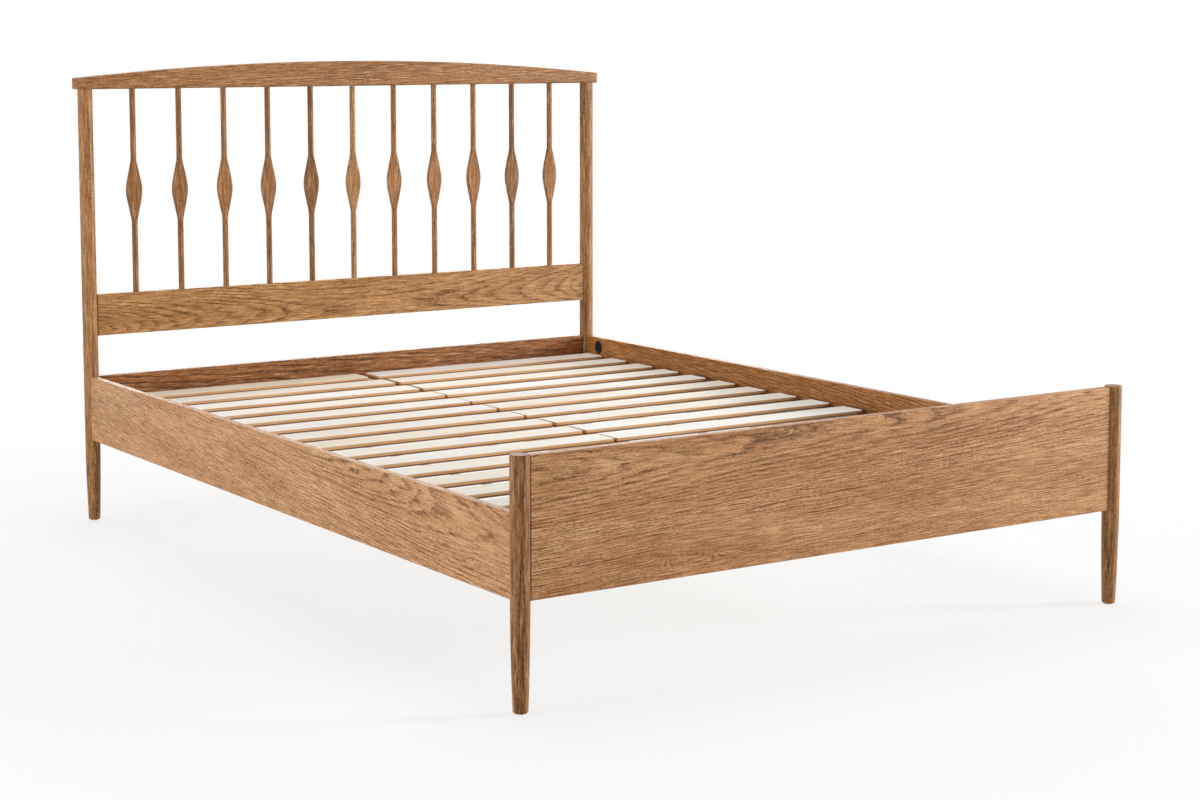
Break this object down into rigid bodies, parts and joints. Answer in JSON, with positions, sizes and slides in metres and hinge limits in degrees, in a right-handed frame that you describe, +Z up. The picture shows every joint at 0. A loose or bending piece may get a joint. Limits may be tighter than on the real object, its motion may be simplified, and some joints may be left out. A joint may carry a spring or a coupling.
{
  "type": "bed frame",
  "caption": "Double bed frame on turned round posts, with an arched top rail over leaf-shaped spindles, slatted base and centre support.",
  "frame": {"origin": "on the floor at the middle of the four posts", "axes": "+X across the bed, +Y along the bed towards the headboard, +Z up"},
  "size_m": [1.454, 1.9615, 1.082],
  "materials": {
    "oak": "oiled",
    "slat_wood": "planed, unfinished",
    "pine": "planed, unfinished",
    "tape": "woven",
    "zinc_steel": "bright zinc",
    "black_plastic": "moulded",
    "glide_plastic": "moulded"
  },
  "bodies": {
    "root": {"head_post_left": "oak", "head_post_right": "oak", "foot_post_left": "oak", "foot_post_right": "oak", "top_rail": "oak", "headboard_rail": "oak", "base_head_rail": "oak", "foot_panel": "oak", "side_rail_left": "oak", "side_rail_right": "oak", "slat_ledger_left": "pine", "slat_ledger_right": "pine", "spindle_01": "oak", "spindle_02": "oak", "spindle_03": "oak", "spindle_04": "oak", "spindle_05": "oak", "spindle_06": "oak", "spindle_07": "oak", "spindle_08": "oak", "spindle_09": "oak", "spindle_10": "oak", "spindle_11": "oak", "slat_row_01": "slat_wood", "slat_row_02": "slat_wood", "slat_row_03": "slat_wood", "slat_row_04": "slat_wood", "slat_row_05": "slat_wood", "slat_row_06": "slat_wood", "slat_row_07": "slat_wood", "slat_row_08": "slat_wood", "slat_row_09": "slat_wood", "slat_row_10": "slat_wood", "slat_row_11": "slat_wood", "slat_row_12": "slat_wood", "slat_row_13": "slat_wood", "slat_row_14": "slat_wood", "slat_row_15": "slat_wood", "slat_row_16": "slat_wood", "slat_tapes": "tape", "centre_rail": "pine", "rail_bracket_foot": "zinc_steel", "rail_bracket_head": "zinc_steel", "centre_leg": "pine", "leg_bolt": "zinc_steel", "leg_insert": "zinc_steel", "corner_studs": "zinc_steel", "half_moon_washers": "zinc_steel", "stud_nuts": "zinc_steel", "pocket_caps": "black_plastic", "joint_dowels": "pine", "ledger_screws": "zinc_steel", "bracket_screws": "zinc_steel", "glide_foot_left": "glide_plastic", "glide_foot_right": "glide_plastic", "glide_head_left": "glide_plastic", "glide_head_right": "glide_plastic"},
    "leveller_pad": {"leveller_pad": "black_plastic"},
    "leveller_stem": {"leveller_stem": "zinc_steel"}
  },
  "joints": [
    {"name": "foot_height", "type": "slide", "parent": "root", "child": "leveller_pad", "axis": [0, 0, 1], "range_m": [-0.006, 0.006]},
    {"name": "foot_turn", "type": "hinge", "parent": "leveller_pad", "child": "leveller_stem", "pos_m": [0, 0, 0.03], "axis": [0, 0, 1], "range_deg": [-1440, 1440]}
  ],
  "couplings": [
    {"joint": "foot_turn", "follows": "foot_height", "rad_per_m": 4188.8}
  ]
}
